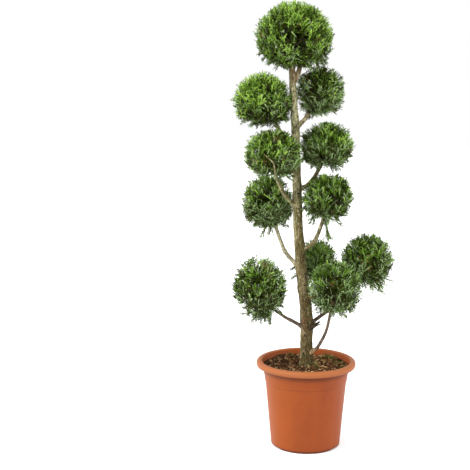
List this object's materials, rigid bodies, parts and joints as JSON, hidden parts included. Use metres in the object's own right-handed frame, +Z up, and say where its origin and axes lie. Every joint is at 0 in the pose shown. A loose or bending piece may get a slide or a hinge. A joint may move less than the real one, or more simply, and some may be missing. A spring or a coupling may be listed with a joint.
{
  "type": "potted leyland cypress",
  "caption": "Evergreen cypress clipped into foliage balls on boughs along one leaning trunk, standing in soil in a round rolled-rim pot.",
  "frame": {"origin": "middle of the pot's flat underside, where it stands", "axes": "+Z up along the tree; the side seen in the picture faces -Y; +X to the right of that view"},
  "size_m": [0.4819, 0.3221, 1.324],
  "materials": {
    "terracotta_plastic": "matte",
    "soil": "matte",
    "bark": "matte",
    "foliage": "matte"
  },
  "bodies": {
    "root": {"pot": "terracotta_plastic", "soil": "soil", "trunk": "bark", "bough_left_1": "bark", "bough_left_2": "bark", "bough_left_3": "bark", "bough_left_4": "bark", "bough_right_1": "bark", "bough_right_2": "bark", "bough_right_3": "bark", "bough_right_4": "bark", "bough_right_5": "bark", "bough_right_6": "bark", "bough_top": "bark", "pruned_stub": "bark", "foliage_top": "foliage", "foliage_left_1": "foliage", "foliage_left_2": "foliage", "foliage_left_3": "foliage", "foliage_left_4": "foliage", "foliage_right_1": "foliage", "foliage_right_2": "foliage", "foliage_right_3": "foliage", "foliage_right_4": "foliage", "foliage_right_5": "foliage", "foliage_right_6": "foliage"}
  },
  "joints": []
}
